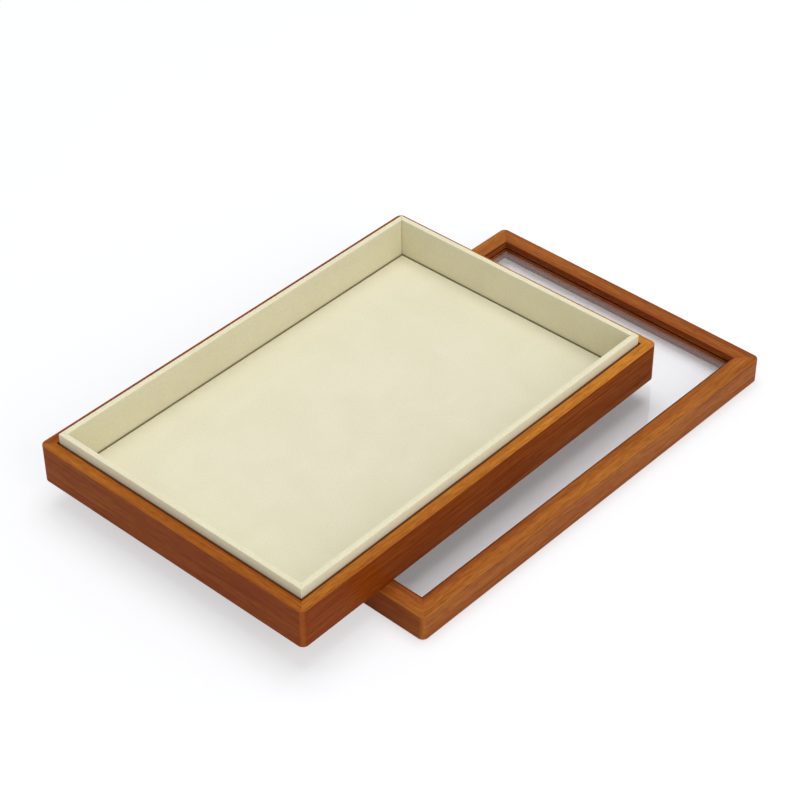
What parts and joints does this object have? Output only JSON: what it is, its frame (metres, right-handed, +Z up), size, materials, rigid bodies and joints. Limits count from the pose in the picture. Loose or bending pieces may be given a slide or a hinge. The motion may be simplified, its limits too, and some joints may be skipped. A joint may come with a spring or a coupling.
{
  "type": "jewelry display tray",
  "caption": "Shallow mitred wooden tray lined with beige microfibre, lying on its own lift-off lid, a mitred wooden frame round a clear pane.",
  "frame": {"origin": "on the table, in the middle of the rectangle that the tray and the lid under it cover together", "axes": "+Z up, +X along the tray's long side, +Y along its short side towards the back; the lid lies shifted towards +X and -Y"},
  "size_m": [0.4206, 0.2764, 0.0579],
  "materials": {
    "rail": "satin reddish-brown stained hardwood",
    "panel": "matt stained plywood",
    "tongue": "raw hardwood",
    "board": "raw fibreboard",
    "microfibre": "short-napped beige microfibre",
    "glass": "clear polished"
  },
  "bodies": {
    "lid": {"lid_front_rail": "rail", "lid_right_rail": "rail", "lid_back_rail": "rail", "lid_left_rail": "rail", "lid_tongue_front_left": "tongue", "lid_tongue_front_right": "tongue", "lid_tongue_back_right": "tongue", "lid_tongue_back_left": "tongue", "lid_pane": "glass"},
    "tray": {"case_front_rail": "rail", "case_right_rail": "rail", "case_back_rail": "rail", "case_left_rail": "rail", "case_tongue_front_left": "tongue", "case_tongue_front_right": "tongue", "case_tongue_back_right": "tongue", "case_tongue_back_left": "tongue", "case_base_panel": "panel", "liner_front_board": "board", "liner_right_board": "board", "liner_back_board": "board", "liner_left_board": "board", "liner_front_cover": "microfibre", "liner_right_cover": "microfibre", "liner_back_cover": "microfibre", "liner_left_cover": "microfibre", "floor_board": "board", "floor_cover": "microfibre"}
  },
  "joints": [
    {"name": "tray_lift", "type": "slide", "parent": "lid", "child": "tray", "axis": [0, 0, 1], "range_m": [0, 0.1]}
  ]
}
